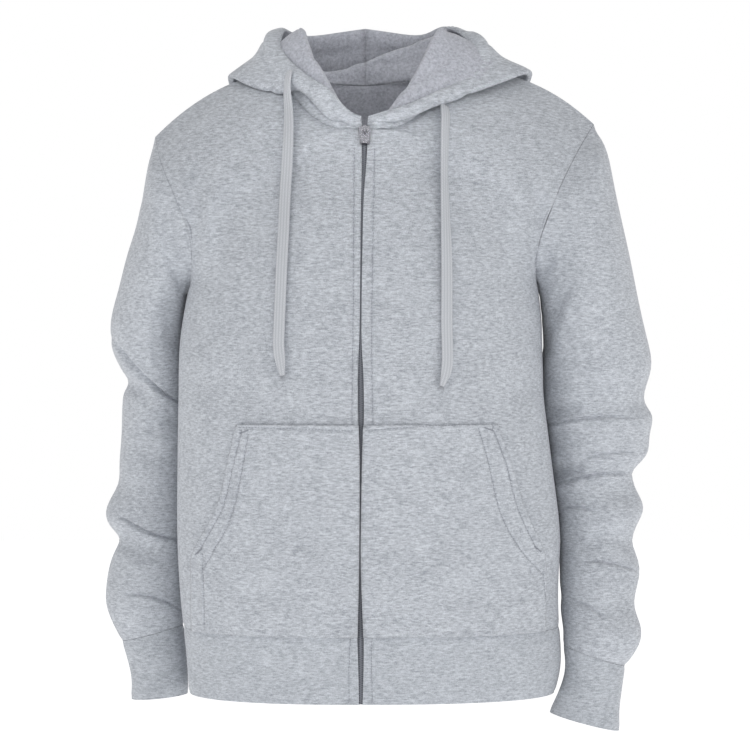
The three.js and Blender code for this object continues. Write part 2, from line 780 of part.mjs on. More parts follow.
function sliderGeometry() {
  const half = sliderLength / 2;
  const faceY = -sliderClear - sliderPlate;
  const front = taperedPlate(sliderTopWidth, sliderFootWidth, sliderLength, faceY, sliderPlate);
  const back = taperedPlate(sliderFootWidth, sliderFootWidth, sliderLength, sliderBack, sliderPlate);
  const [postX, crownX] = [postWidth / 2, crownWidth / 2];
  const crownY = faceY - crownHeight;
  const crownFoot = eyeTop - crownEye - 2 * crownWall + fused;
  const postTop = half - postInset;
  const post = block(-postX, postX, faceY + fused, sliderBack + fused, half - postLength, postTop);
  const crown = block(-crownX, crownX, crownY, faceY + fused, crownFoot, crownTop);
  const eye = block(-crownWidth, crownWidth, crownY + crownWall, faceY, eyeTop - crownEye, eyeTop);
  return fromManifold(front.add(post).add(back).add(crown.subtract(eye)));
}

function roundedLoop(halfWidth, halfLength, count) {
  const power = 2 / pullRoundness;
  return Array.from({ length: count }, (_, i) => {
    const angle = (2 * Math.PI * i) / count;
    const [x, y] = [Math.cos(angle), Math.sin(angle)];
    return new THREE.Vector2(
      halfWidth * Math.sign(x) * Math.abs(x) ** power,
      halfLength * Math.sign(y) * Math.abs(y) ** power,
    );
  });
}

// The pull is an oval ring that hangs from the slider's crown. Its origin is its turning axis.
const pullBar = (pullHalfLength + pullHoleHalfLength) / 2;
function pullGeometry() {
  const shape = new THREE.Shape(roundedLoop(pullHalfWidth, pullHalfLength, pullCorners));
  const hole = roundedLoop(pullHoleHalfWidth, pullHoleHalfLength, pullHoleCorners);
  shape.holes.push(new THREE.Path(hole));
  const settings = { depth: pullThickness, bevelEnabled: false };
  const geometry = new THREE.ExtrudeGeometry(shape, settings).rotateX(Math.PI / 2);
  return geometry.translate(0, pullThickness / 2, -pullBar);
}

// Free ends of the flat drawcord, from the hood's channel down the chest. The turn is how far the
// flat of the braid faces away from the middle, in degrees.
const cordRoutes = {
  right: table('x y z turn', [
    [-80.3, -68.3, 0.6, 58],
    [-82.1, -70.3, -8, 56],
    [-82.9, -71.7, -17, 54],
    [-82.5, -72.5, -27, 48],
    [-81.2, -76, -41, 38],
    [-80.6, -86, -57.5, 28],
    [-81, -95.5, -80, 20],
    [-82, -101, -105, 17],
    [-83.5, -107.5, -133, 16],
    [-84.8, -118, -172, 16],
    [-86.5, -123.5, -208, 15],
    [-87.8, -125.5, -241, 15],
    [-89, -126.5, -272, 15],
    [-89.6, -126.9, -293, 15],
    [-88, -127.4, -309, 15],
    [-85.5, -128, -325, 15],
  ]),
  left: table('x y z turn', [
    [85.4, -70, -36.6, 28],
    [85.8, -77, -42.4, 30],
    [86, -83.5, -49.5, 34],
    [85.4, -90.5, -61, 42],
    [84.8, -97.5, -81, 48],
    [84.2, -103, -106, 52],
    [84.5, -110.5, -137.5, 46],
    [85.3, -118, -170, 34],
    [85.9, -121.5, -193, 24],
    [86.2, -122.7, -212, 18],
    [86.2, -124.3, -243, 16],
    [86.1, -125.2, -274, 15],
    [86.6, -125.4, -293, 15],
    [86.6, -125.6, -312, 15],
    [84.4, -126, -325, 15],
    [80.7, -127, -336, 15],
  ]),
};

// The braid's path carries the way that its flat faces at each step.
class BraidPath extends THREE.CatmullRomCurve3 {
  constructor(side) {
    const route = cordRoutes[side];
    super(route.map(({ x, y, z }) => new THREE.Vector3(x, y, z)), false, 'centripetal');
    this.turns = route.map(({ turn }) => THREE.MathUtils.degToRad(turn) * sides[side]);
  }

  computeFrenetFrames(segments) {
    const tangents = steps(0, 1, segments).map((u) => this.getTangentAt(u));
    const normals = [];
    const binormals = [];
    tangents.forEach((tangent, i) => {
      const place = this.getUtoTmapping(i / segments) * (this.turns.length - 1);
      const low = Math.min(Math.floor(place), this.turns.length - 2);
      const turn = THREE.MathUtils.lerp(this.turns[low], this.turns[low + 1], place - low);
      const outward = new THREE.Vector3(Math.sin(turn), -Math.cos(turn), 0);
      const across = outward.cross(tangent).normalize();
      normals.push(across);
      binormals.push(tangent.clone().cross(across));
    });
    return { tangents, normals, binormals };
  }
}

// The braid's outline is an oval with flattened faces.
const braidCorners = 10;
const braidFlatness = 0.7;
const braidStep = 20;
function cordGeometry(side) {
  const path = new BraidPath(side);
  const outline = Array.from({ length: braidCorners }, (_, i) => {
    const angle = (2 * Math.PI * i) / braidCorners;
    const [across, deep] = [Math.cos(angle), Math.sin(angle)];
    return new THREE.Vector2(
      (braidWidth / 2) * across,
      (braidThickness / 2) * Math.sign(deep) * Math.abs(deep) ** braidFlatness,
    );
  });
  const stepsDown = Math.round(path.getLength() / braidStep);
  return new THREE.ExtrudeGeometry(new THREE.Shape(outline), { steps: stepsDown, extrudePath: path });
}

const hoodie = new THREE.Group();

function addNode(name, geometry, finish, parent = hoodie) {
  const mesh = new THREE.Mesh(geometry, finishes[finish]);
  mesh.name = name;
  parent.add(mesh);
  return mesh;
}

[...clothPieces, ...pocketPieces].forEach((piece) => {
  addNode(piece.name, clothWallGeometry(piece), piece.finish);
});
Object.keys(sides).forEach((side) => addNode(`zip_${side}`, zipTapeGeometry(side), 'zipTape'));
Object.keys(sides).forEach((side) => addNode(`drawcord_${side}`, cordGeometry(side), 'braid'));

const slider = new THREE.Group();
const sliderReach = sliderLength / 2;
const faceAbove = -read(trunk, 'z', sliderZ + sliderReach, 'front');
const faceBelow = -read(trunk, 'z', sliderZ - sliderReach, 'front');
slider.position.set(read(zipLine, 'z', sliderZ, 'x'), (faceAbove + faceBelow) / 2, sliderZ);
slider.rotation.x = -Math.atan2(faceAbove - faceBelow, sliderLength);
addNode('zip_slider', sliderGeometry(), 'zipMetal', slider);
const pull = addNode('pull_tab', pullGeometry(), 'zipMetal', slider);
const pullAxisY = -sliderClear - sliderPlate - (crownHeight - crownWall) / 2;
pull.position.set(0, pullAxisY, eyeTop - crownEye / 2);
hoodie.add(slider);

export default hoodie;
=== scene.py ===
"""A zip up hoodie in heather grey fleece, filled out as if worn, with its hood down."""
import math

import bmesh
import bpy
import numpy as np
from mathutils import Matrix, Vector
from mathutils.bvhtree import BVHTree
from mathutils.kdtree import KDTree


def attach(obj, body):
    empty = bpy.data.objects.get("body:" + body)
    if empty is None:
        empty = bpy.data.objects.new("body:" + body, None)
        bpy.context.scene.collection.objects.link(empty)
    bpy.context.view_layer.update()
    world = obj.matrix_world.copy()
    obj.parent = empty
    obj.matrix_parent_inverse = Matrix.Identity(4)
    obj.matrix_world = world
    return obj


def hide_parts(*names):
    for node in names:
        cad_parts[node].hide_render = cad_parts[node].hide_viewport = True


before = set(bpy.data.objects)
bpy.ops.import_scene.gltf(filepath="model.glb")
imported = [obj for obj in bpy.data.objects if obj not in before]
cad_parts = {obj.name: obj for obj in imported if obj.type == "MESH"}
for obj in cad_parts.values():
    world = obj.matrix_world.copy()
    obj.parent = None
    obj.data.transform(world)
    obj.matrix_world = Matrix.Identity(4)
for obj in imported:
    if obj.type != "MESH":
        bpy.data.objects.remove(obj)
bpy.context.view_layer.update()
scene = bpy.context.scene
MM = 0.001


# The photograph's view: level, straight at the front, from a long lens.
view_lens = 109.09
view_place = (0.011, -2.5, -0.3245)
camera_data = bpy.data.cameras.new("photo_camera")
camera_data.sensor_width = 36
camera_data.lens = view_lens
camera = bpy.data.objects.new("photo_camera", camera_data)
camera.location = view_place
camera.rotation_euler = (math.pi / 2, 0, 0)
scene.collection.objects.link(camera)
scene.camera = camera
scene.view_settings.view_transform = "Standard"


# Drawcord: one flat cotton braid in the hood's channel. Its two free ends come out at the neck, lie on the
# chest and end in a cut, frayed tip.
braid_width = 12.5
braid_thickness = 2.8
braid_step = 1.5
braid_sides = 20
tip_length = 26
tip_width = 0.42
loose_threads = 26
half_column = 1.6
half_plait = 0.85
cord_ends = {
    "right": [
        (-80.3, -68.3, 0.6, 58), (-82.1, -70.3, -8, 56), (-82.9, -71.7, -17, 54), (-82.5, -72.5, -27, 48),
        (-81.2, -76, -41, 38), (-80.6, -86, -57.5, 28), (-81, -95.5, -80, 20), (-82, -101, -105, 17),
        (-83.5, -107.5, -133, 16), (-84.8, -118, -172, 16), (-86.5, -123.5, -208, 15),
        (-87.8, -125.5, -241, 15), (-89, -126.5, -272, 15), (-89.6, -126.9, -293, 15),
        (-88, -127.4, -309, 15), (-85.5, -128, -325, 15),
    ],
    "left": [
        (85.4, -70, -36.6, 28), (85.8, -77, -42.4, 30), (86, -83.5, -49.5, 34), (85.4, -90.5, -61, 42),
        (84.8, -97.5, -81, 48), (84.2, -103, -106, 52), (84.5, -110.5, -137.5, 46), (85.3, -118, -170, 34),
        (85.9, -121.5, -193, 24), (86.2, -122.7, -212, 18), (86.2, -124.3, -243, 16),
        (86.1, -125.2, -274, 15), (86.6, -125.4, -293, 15), (86.6, -125.6, -312, 15),
        (84.4, -126, -325, 15), (80.7, -127, -336, 15),
    ],
}
# The dark colour is painted shade in the gaps between the plaits, and also the darker fibres' own tone.
braid_lit_and_shaded_colours = {"light": (0.78, 0.80, 0.83, 1), "dark": (0.27, 0.285, 0.32, 1)}


def smooth_route(rows, step):
    """Points every step along a smooth curve through rows, with each row's turn."""
    rows = np.array(rows, float)
    ends = np.vstack([2 * rows[0] - rows[1], rows, 2 * rows[-1] - rows[-2]])
    gaps = np.sqrt(np.linalg.norm(np.diff(ends[:, :3], axis=0), axis=1))
    fine = []
    for i in range(len(rows) - 1):
        a, b, c, d = ends[i:i + 4]
        before, here, after = gaps[i:i + 3]
        leave = ((b - a) / before - (c - a) / (before + here) + (c - b) / here) * here
        arrive = ((c - b) / here - (d - b) / (here + after) + (d - c) / after) * here
        for t in np.linspace(0, 1, 24, endpoint=False):
            place = b * (2 * t**3 - 3 * t**2 + 1) + c * (3 * t**2 - 2 * t**3)
            place = place + leave * (t**3 - 2 * t**2 + t) + arrive * (t**3 - t**2)
            place[3] = b[3] + (c[3] - b[3]) * t
            fine.append(place)
    fine.append(rows[-1])
    fine = np.array(fine)
    run = np.concatenate([[0], np.cumsum(np.linalg.norm(np.diff(fine[:, :3], axis=0), axis=1))])
    stops = np.linspace(0, run[-1], int(run[-1] / step) + 1)
    return np.column_stack([np.interp(stops, run, fine[:, k]) for k in range(4)]), stops


def mesh_object(name, points, faces, smooth=True):
    mesh = bpy.data.meshes.new(name)
    mesh.from_pydata([tuple(p) for p in points], [], faces)
    mesh.polygons.foreach_set("use_smooth", [smooth] * len(mesh.polygons))
    made = bpy.data.objects.new(name, mesh)
    scene.collection.objects.link(made)
    return made


def shader(name, roughness, sheen=0.0, metallic=0.0):
    """A material with its Principled shader, ready for colour and bump."""
    material = bpy.data.materials.new(name)
    material.use_nodes = True
    principled = material.node_tree.nodes["Principled BSDF"]
    principled.inputs["Roughness"].default_value = roughness
    principled.inputs["Metallic"].default_value = metallic
    principled.inputs["Sheen Weight"].default_value = sheen
    principled.inputs["Sheen Roughness"].default_value = 0.6
    return material, material.node_tree.nodes, material.node_tree.links, principled


def maths_with(nodes, links):
    """A function that adds a maths node, whose inputs are numbers or other nodes' outputs."""

    def maths(operation, *values):
        node = nodes.new("ShaderNodeMath")
        node.operation = operation
        for socket, value in zip(node.inputs, values):
            if isinstance(value, (int, float)):
                socket.default_value = value
            else:
                links.new(value, socket)
        return node.outputs[0]

    return maths


def colour_between(nodes, links, factor, first, second):
    """The mix of two, each a colour or another node's output."""
    mix = nodes.new("ShaderNodeMix")
    mix.data_type = "RGBA"
    links.new(factor, mix.inputs["Factor"])
    for name, value in (("A", first), ("B", second)):
        if isinstance(value, tuple):
            mix.inputs[name].default_value = value
        else:
            links.new(value, mix.inputs[name])
    return mix.outputs["Result"]


def raise_by(nodes, links, principled, height, strength, distance):
    """Bump on a shader from a height, at most distance deep."""
    bump = nodes.new("ShaderNodeBump")
    bump.inputs["Strength"].default_value = strength
    bump.inputs["Distance"].default_value = distance
    links.new(height, bump.inputs["Height"])
    links.new(bump.outputs["Normal"], principled.inputs["Normal"])


def braid_material():
    """Four lengthwise columns of slanted plaits, in cord millimetres, with painted shade darkening the low
    gaps between the plaits.
    """
    material, nodes, links, principled = shader("braid_cotton", 0.9, sheen=0.15)
    maths = maths_with(nodes, links)
    around = nodes.new("ShaderNodeUVMap")
    around.uv_map = "braid"
    parts = nodes.new("ShaderNodeSeparateXYZ")
    links.new(around.outputs["UV"], parts.inputs[0])
    column = maths("PINGPONG", parts.outputs["X"], half_column)
    slant = maths("ADD", parts.outputs["Y"], column)
    wave = maths("PINGPONG", slant, half_plait)
    plait = maths("MULTIPLY", wave, 1 / half_plait)
    valley = maths("POWER", maths("MULTIPLY", column, 1 / half_column), 0.5)
    height = maths("MULTIPLY", plait, valley)
    fibre = nodes.new("ShaderNodeTexNoise")
    fibre.inputs["Scale"].default_value = 1.4
    fibre.inputs["Detail"].default_value = 4
    links.new(around.outputs["UV"], fibre.inputs["Vector"])
    # The colour follows the plaits' height: painted shade in the low gaps between them, mixed with the
    # fibres' own tone.
    plait_shade_and_fibre = maths("ADD", maths("MULTIPLY", height, 0.6), maths("MULTIPLY", fibre.outputs["Fac"], 0.5))
    colour = colour_between(nodes, links, plait_shade_and_fibre, braid_lit_and_shaded_colours["dark"], braid_lit_and_shaded_colours["light"])
    links.new(colour, principled.inputs["Base Color"])
    raise_by(nodes, links, principled, plait_shade_and_fibre, 0.6, 0.6 * MM)
    return material


def turn_faces_out(made):
    work = bmesh.new()
    work.from_mesh(made.data)
    bmesh.ops.recalc_face_normals(work, faces=work.faces)
    work.to_mesh(made.data)
    work.free()


def braid_end(side):
    """A flat tube along the route. Its section narrows to the tip, and it gives the tip's place and frame for
    the cut threads that stand out of it.
    """
    flip = {"right": -1, "left": 1}[side]
    rows, stops = smooth_route(cord_ends[side], braid_step)
    centre, turns = rows[:, :3], np.radians(rows[:, 3]) * flip
    tangent = np.gradient(centre, axis=0)
    tangent /= np.linalg.norm(tangent, axis=1)[:, None]
    outward = np.column_stack([np.sin(turns), -np.cos(turns), np.zeros(len(turns))])
    across = np.cross(outward, tangent)
    across /= np.linalg.norm(across, axis=1)[:, None]
    lift = np.cross(tangent, across)
    length = stops[-1]
    to_tip = np.clip((length - stops) / tip_length, 0, 1)
    spread = tip_width + (1 - tip_width) * np.sin(to_tip * math.pi / 2)
    angles = np.linspace(0, 2 * math.pi, braid_sides, endpoint=False)
    flat = np.sign(np.sin(angles)) * np.abs(np.sin(angles)) ** 0.7
    points, uv_rows, faces = [], [], []
    for i, place in enumerate(centre):
        half = braid_width / 2 * spread[i]
        for angle, rise in zip(angles, flat):
            points.append((place + across[i] * half * math.cos(angle)
                           + lift[i] * braid_thickness / 2 * rise) * MM)
            uv_rows.append((half * math.cos(angle), stops[i]))
    count = len(centre)
    for i in range(count - 1):
        for j in range(braid_sides):
            k = (j + 1) % braid_sides
            a, b = i * braid_sides, (i + 1) * braid_sides
            faces.append((a + j, a + k, b + k, b + j))
    faces.append(tuple(range(braid_sides - 1, -1, -1)))
    faces.append(tuple((count - 1) * braid_sides + j for j in range(braid_sides)))
    end = mesh_object("drawcord_end_" + side, points, faces)
    turn_faces_out(end)
    layer = end.data.uv_layers.new(name="braid")
    corner_points = np.array([loop.vertex_index for loop in end.data.loops])
    layer.data.foreach_set("uv", np.array(uv_rows)[corner_points].ravel())
    return end, [tuple(p) for p in centre * MM], length * MM, (centre[-1], tangent[-1], across[-1], lift[-1])


def frayed_threads(side, place, tangent, across, lift):
    """Loose cut threads at the cord's tip."""
    draw = np.random.default_rng(7 if side == "right" else 11)
    points, faces = [], []
    for n in range(loose_threads):
        shift = (n / (loose_threads - 1) - 0.5) * braid_width * tip_width * 0.9
        start = place - tangent * 3 + across * shift + lift * draw.uniform(-0.8, 0.8)
        heading = tangent + across * (shift * 0.06 + draw.uniform(-0.12, 0.12))
        heading = heading + lift * draw.uniform(-0.1, 0.1)
        reach = draw.uniform(5.5, 9.5)
        thick = draw.uniform(0.22, 0.4)
        base = len(points)
        for k, share in enumerate((0, 0.5, 1)):
            middle = start + heading * reach * share + across * draw.uniform(-0.3, 0.3) * share
            for angle in (0.5, 2.6, 4.7):
                ring = (across * math.cos(angle) + lift * math.sin(angle)) * thick * (1 - 0.6 * share)
                points.append((middle + ring) * MM)
            if k:
                low = base + 3 * (k - 1)
                faces += [(low + j, low + (j + 1) % 3, low + 3 + (j + 1) % 3, low + 3 + j) for j in range(3)]
        faces += [(base, base + 2, base + 1), (base + 6, base + 7, base + 8)]
    threads = mesh_object("drawcord_fray_" + side, points, faces)
    turn_faces_out(threads)
    return threads


cord_material = braid_material()
for side in ("right", "left"):
    cord_piece, cord_path, cord_length, cord_tip = braid_end(side)
    cord_threads = frayed_threads(side, *cord_tip)
    for piece in (cord_piece, cord_threads):
        piece.data.materials.append(cord_material)
        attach(piece, "garment")
    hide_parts("drawcord_" + side)


# Cloth: brushed fleece, knit from a marl yarn of light and darker grey fibres. The face is smooth with short
# streaks across it, and the back is brushed and coarser, in a darker grey that is painted shade of the
# cloth's inside.
fleece_colours = {"light": (0.610, 0.640, 0.685, 1), "dark": (0.290, 0.308, 0.345, 1)}
brushed_shaded_colours = {"light": (0.52, 0.535, 0.59, 1), "dark": (0.30, 0.31, 0.355, 1)}
rib_colours = {"light": (0.575, 0.605, 0.650, 1), "dark": (0.290, 0.310, 0.345, 1)}


def marl_group():
    """Short streaks of mixed fibres across the knit, in metres of the garment."""
    group = bpy.data.node_groups.new("marl_knit", "ShaderNodeTree")
    given_values = (
        ("Light", "NodeSocketColor", (1, 1, 1, 1)),
        ("Dark", "NodeSocketColor", (0, 0, 0, 1)),
        ("Streak Length", "NodeSocketFloat", 0.006),
        ("Streak Height", "NodeSocketFloat", 0.0016),
        ("Contrast", "NodeSocketFloat", 1.0),
        ("Seam", "NodeSocketFloat", 1.0),
    )
    for name, kind, value in given_values:
        socket = group.interface.new_socket(name, in_out="INPUT", socket_type=kind)
        socket.default_value = value
    group.interface.new_socket("Color", in_out="OUTPUT", socket_type="NodeSocketColor")
    group.interface.new_socket("Height", in_out="OUTPUT", socket_type="NodeSocketFloat")
    nodes, links = group.nodes, group.links
    given, out = nodes.new("NodeGroupInput"), nodes.new("NodeGroupOutput")
    place = nodes.new("ShaderNodeTexCoord").outputs["Object"]
    maths = maths_with(nodes, links)

    def noise(vector, scale, detail, rough=0.55):
        node = nodes.new("ShaderNodeTexNoise")
        node.inputs["Scale"].default_value = scale
        node.inputs["Detail"].default_value = detail
        node.inputs["Roughness"].default_value = rough
        links.new(vector, node.inputs["Vector"])
        return node.outputs["Fac"]

    wide = maths("DIVIDE", 1.0, given.outputs["Streak Length"])
    tall = maths("DIVIDE", 1.0, given.outputs["Streak Height"])
    scaled = nodes.new("ShaderNodeVectorMath")
    scaled.operation = "MULTIPLY"
    sizes = nodes.new("ShaderNodeCombineXYZ")
    for socket, value in zip(sizes.inputs, (wide, wide, tall)):
        links.new(value, socket)
    links.new(place, scaled.inputs[0])
    links.new(sizes.outputs[0], scaled.inputs[1])
    streak = noise(scaled.outputs[0], 1.0, 2.5)
    fibre = noise(place, 900, 3)
    cloud = noise(place, 45, 3)
    mixed = maths("ADD", maths("MULTIPLY", streak, 0.50), maths("MULTIPLY", fibre, 0.40))
    mixed = maths("ADD", mixed, maths("MULTIPLY", cloud, 0.10))
    spread = maths("MULTIPLY", given.outputs["Contrast"], 3.2)
    level = maths("MULTIPLY_ADD", maths("SUBTRACT", mixed, 0.5), spread, 0.5)
    clamp = nodes.new("ShaderNodeClamp")
    links.new(level, clamp.inputs["Value"])
    colour = colour_between(nodes, links, clamp.outputs[0], given.outputs["Dark"], given.outputs["Light"])
    links.new(colour, out.inputs["Color"])
    pucker = maths("MULTIPLY", noise(place, 160, 2), maths("SUBTRACT", 1.0, given.outputs["Seam"]))
    height = maths("ADD", maths("MULTIPLY", streak, 0.35), maths("MULTIPLY", fibre, 0.45))
    height = maths("ADD", height, maths("MULTIPLY", pucker, 1.6))
    links.new(height, out.inputs["Height"])
    return group


marl = marl_group()


def marl_nodes(nodes, links, colours, contrast, seam, streak=(0.006, 0.0016)):
    """One use of the marl in a material, with its own values."""
    use = nodes.new("ShaderNodeGroup")
    use.node_tree = marl
    use.inputs["Light"].default_value = colours["light"]
    use.inputs["Dark"].default_value = colours["dark"]
    use.inputs["Contrast"].default_value = contrast
    use.inputs["Streak Length"].default_value = streak[0]
    use.inputs["Streak Height"].default_value = streak[1]
    links.new(seam, use.inputs["Seam"])
    return use


def fleece_material(name, face, depth):
    """The face outside and the brushed back on the lining side, by the cloth's own lining attribute."""
    material, nodes, links, principled = shader(name, 0.92, sheen=0.25)
    lining = nodes.new("ShaderNodeAttribute")
    lining.attribute_name = "lining"
    seam = nodes.new("ShaderNodeAttribute")
    seam.attribute_name = "from_seam"
    outside = marl_nodes(nodes, links, face, 1.25, seam.outputs["Fac"])
    # The lining side's darker grey is painted shade of the inside.
    inside = marl_nodes(nodes, links, brushed_shaded_colours, 1.25, seam.outputs["Fac"], (0.0032, 0.0030))
    colour = colour_between(nodes, links, lining.outputs["Fac"], outside.outputs["Color"],
                            inside.outputs["Color"])
    links.new(colour, principled.inputs["Base Color"])
    relief = nodes.new("ShaderNodeMix")
    relief.data_type = "FLOAT"
    links.new(lining.outputs["Fac"], relief.inputs["Factor"])
    links.new(outside.outputs["Height"], relief.inputs["A"])
    links.new(inside.outputs["Height"], relief.inputs["B"])
    raise_by(nodes, links, principled, relief.outputs["Result"], 0.5, depth)
    return material


fleece = fleece_material("heather_fleece", fleece_colours, 1.0 * MM)
rib_knit = fleece_material("heather_rib", rib_colours, 1.0 * MM)
wall_thickness = {"fleece": 2.6, "rib": 2.8, "pocket": 2.4}
rim_angle = math.radians(45)
corner_angle = math.radians(38)
rounding_passes = 3
seam_reach = 3.0 * MM
seam_sink = 1.1 * MM
fold_reaches = (14 * MM, 9 * MM)
ditch_reaches = (8 * MM, 5 * MM)


def cloth_mesh(node, name, wall, face_out):
    """A smooth, closed copy of a CAD wall, with its outer side known.

    face_out is the way that the farthest point of the outer side lies."""
    work = bmesh.new()
    work.from_mesh(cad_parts[node].data)
    bmesh.ops.remove_doubles(work, verts=work.verts, dist=0.02 * MM)
    crease = work.edges.layers.float.new("crease_edge")
    corner = work.verts.layers.float.new("crease_vert")
    kind = work.faces.layers.int.new("wall_side")

    def spans_wall(edge):
        return abs(edge.calc_length() - wall * MM) < 0.002 * MM

    rims = {face for face in work.faces if any(spans_wall(edge) for edge in face.edges)
            and any(edge.calc_face_angle(0) > rim_angle for edge in face.edges)}
    for edge in work.edges:
        sides = [face in rims for face in edge.link_faces]
        if any(sides) and not all(sides):
            edge[crease] = 1.0
    for vert in work.verts:
        lines = [edge for edge in vert.link_edges if edge[crease] > 0]
        if len(lines) == 2:
            ways = [(edge.other_vert(vert).co - vert.co).normalized() for edge in lines]
            if ways[0].angle(-ways[1]) > corner_angle:
                vert[corner] = 1.0
                for edge in vert.link_edges:
                    if spans_wall(edge):
                        edge[crease] = 1.0
    for face in rims:
        face[kind] = 2
    left = set(work.faces) - rims
    regions = []
    while left:
        stack, region = [left.pop()], []
        while stack:
            face = stack.pop()
            region.append(face)
            for edge in face.edges:
                for other in edge.link_faces:
                    if other in left:
                        left.discard(other)
                        stack.append(other)
        regions.append(region)
    regions.sort(key=lambda region: -sum(face.calc_area() for face in region))
    aim = Vector(face_out)
    reach = [max(vert.co.dot(aim) for face in region for vert in face.verts) for region in regions[:2]]
    outer = regions[0] if reach[0] > reach[1] else regions[1]
    for region in regions:
        for face in region:
            face[kind] = 0 if region is outer else 1
    bmesh.ops.join_triangles(work, faces=work.faces[:], angle_face_threshold=math.radians(50),
                             angle_shape_threshold=math.radians(70), cmp_seam=False, cmp_sharp=False)
    mesh = bpy.data.meshes.new(name)
    work.to_mesh(mesh)
    work.free()
    made = bpy.data.objects.new(name, mesh)
    scene.collection.objects.link(made)
    round_off = made.modifiers.new("round", "SUBSURF")
    round_off.levels = round_off.render_levels = 1
    aimed = np.empty(len(mesh.vertices) * 3)
    mesh.vertices.foreach_get("co", aimed)
    held = aimed.copy()
    for _ in range(rounding_passes):
        trial = bpy.data.meshes.new_from_object(made.evaluated_get(bpy.context.evaluated_depsgraph_get()))
        rounded = np.empty(len(trial.vertices) * 3)
        trial.vertices.foreach_get("co", rounded)
        bpy.data.meshes.remove(trial)
        held += 0.8 * (aimed - rounded[:len(aimed)])
        mesh.vertices.foreach_set("co", held)
        mesh.update()
    round_off.levels = round_off.render_levels = 2
    smooth = bpy.data.meshes.new_from_object(made.evaluated_get(bpy.context.evaluated_depsgraph_get()))
    made.modifiers.clear()
    made.data = smooth
    smooth.name = name
    return made


def finer_outside(made, near=None, reach=0.0):
    """Splits the outer side's faces once more, all of them or those near some points."""
    work = bmesh.new()
    work.from_mesh(made.data)
    kind = work.faces.layers.int["wall_side"]
    chosen = [face for face in work.faces if face[kind] == 0]
    if near is not None:
        close = {vert for vert in work.verts if near.find(vert.co)[2] < reach}
        chosen = [face for face in chosen if any(vert in close for vert in face.verts)]
    keep = set(chosen)
    edges = {edge for face in chosen for edge in face.edges
             if near is not None or all(other in keep for other in edge.link_faces)}
    edges = [edge for edge in edges if all(face[kind] == 0 for face in edge.link_faces)]
    bmesh.ops.subdivide_edges(work, edges=edges, cuts=1, use_grid_fill=True, smooth=0.0)
    work.to_mesh(made.data)
    work.free()


def surface_tree(mesh):
    return BVHTree.FromPolygons([v.co for v in mesh.vertices], [tuple(p.vertices) for p in mesh.polygons])


def point_tree(points):
    tree = KDTree(len(points))
    for i, point in enumerate(points):
        tree.insert(point, i)
    tree.balance()
    return tree


def from_view(x, z):
    """Start and way of the sight line through a place of the photo's plane, in millimetres."""
    start = Vector(view_place)
    return start, (Vector((x * MM, 0, z * MM)) - start).normalized()


